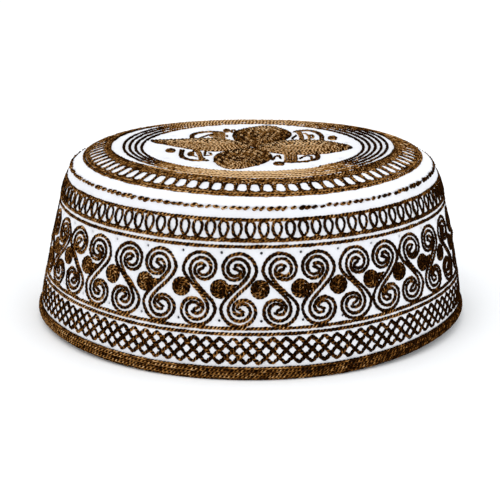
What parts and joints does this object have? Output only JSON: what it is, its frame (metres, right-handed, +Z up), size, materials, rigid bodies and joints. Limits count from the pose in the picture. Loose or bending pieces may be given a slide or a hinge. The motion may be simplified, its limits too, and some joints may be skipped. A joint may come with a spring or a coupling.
{
  "type": "prayer cap",
  "caption": "Round cotton prayer cap with a flat crown, a flared side and a braided rim, covered in dark gold chain stitch embroidery and pierced by small eyelets.",
  "frame": {"origin": "centre of the rim's underside, on the surface that the cap rests on", "axes": "+Z up through the crown, -Y towards the front, +X to the right of someone who looks at the front"},
  "size_m": [0.1902, 0.1902, 0.0748],
  "materials": {
    "crown_cotton": "white woven cotton with dark gold chain stitch embroidery",
    "side_cotton": "white woven cotton with dark gold chain stitch embroidery",
    "rim_thread": "dense rows of dark bronze and gold twisted thread"
  },
  "bodies": {
    "root": {"crown_panel": "crown_cotton", "side_band": "side_cotton", "rim_braid": "rim_thread"}
  },
  "joints": []
}
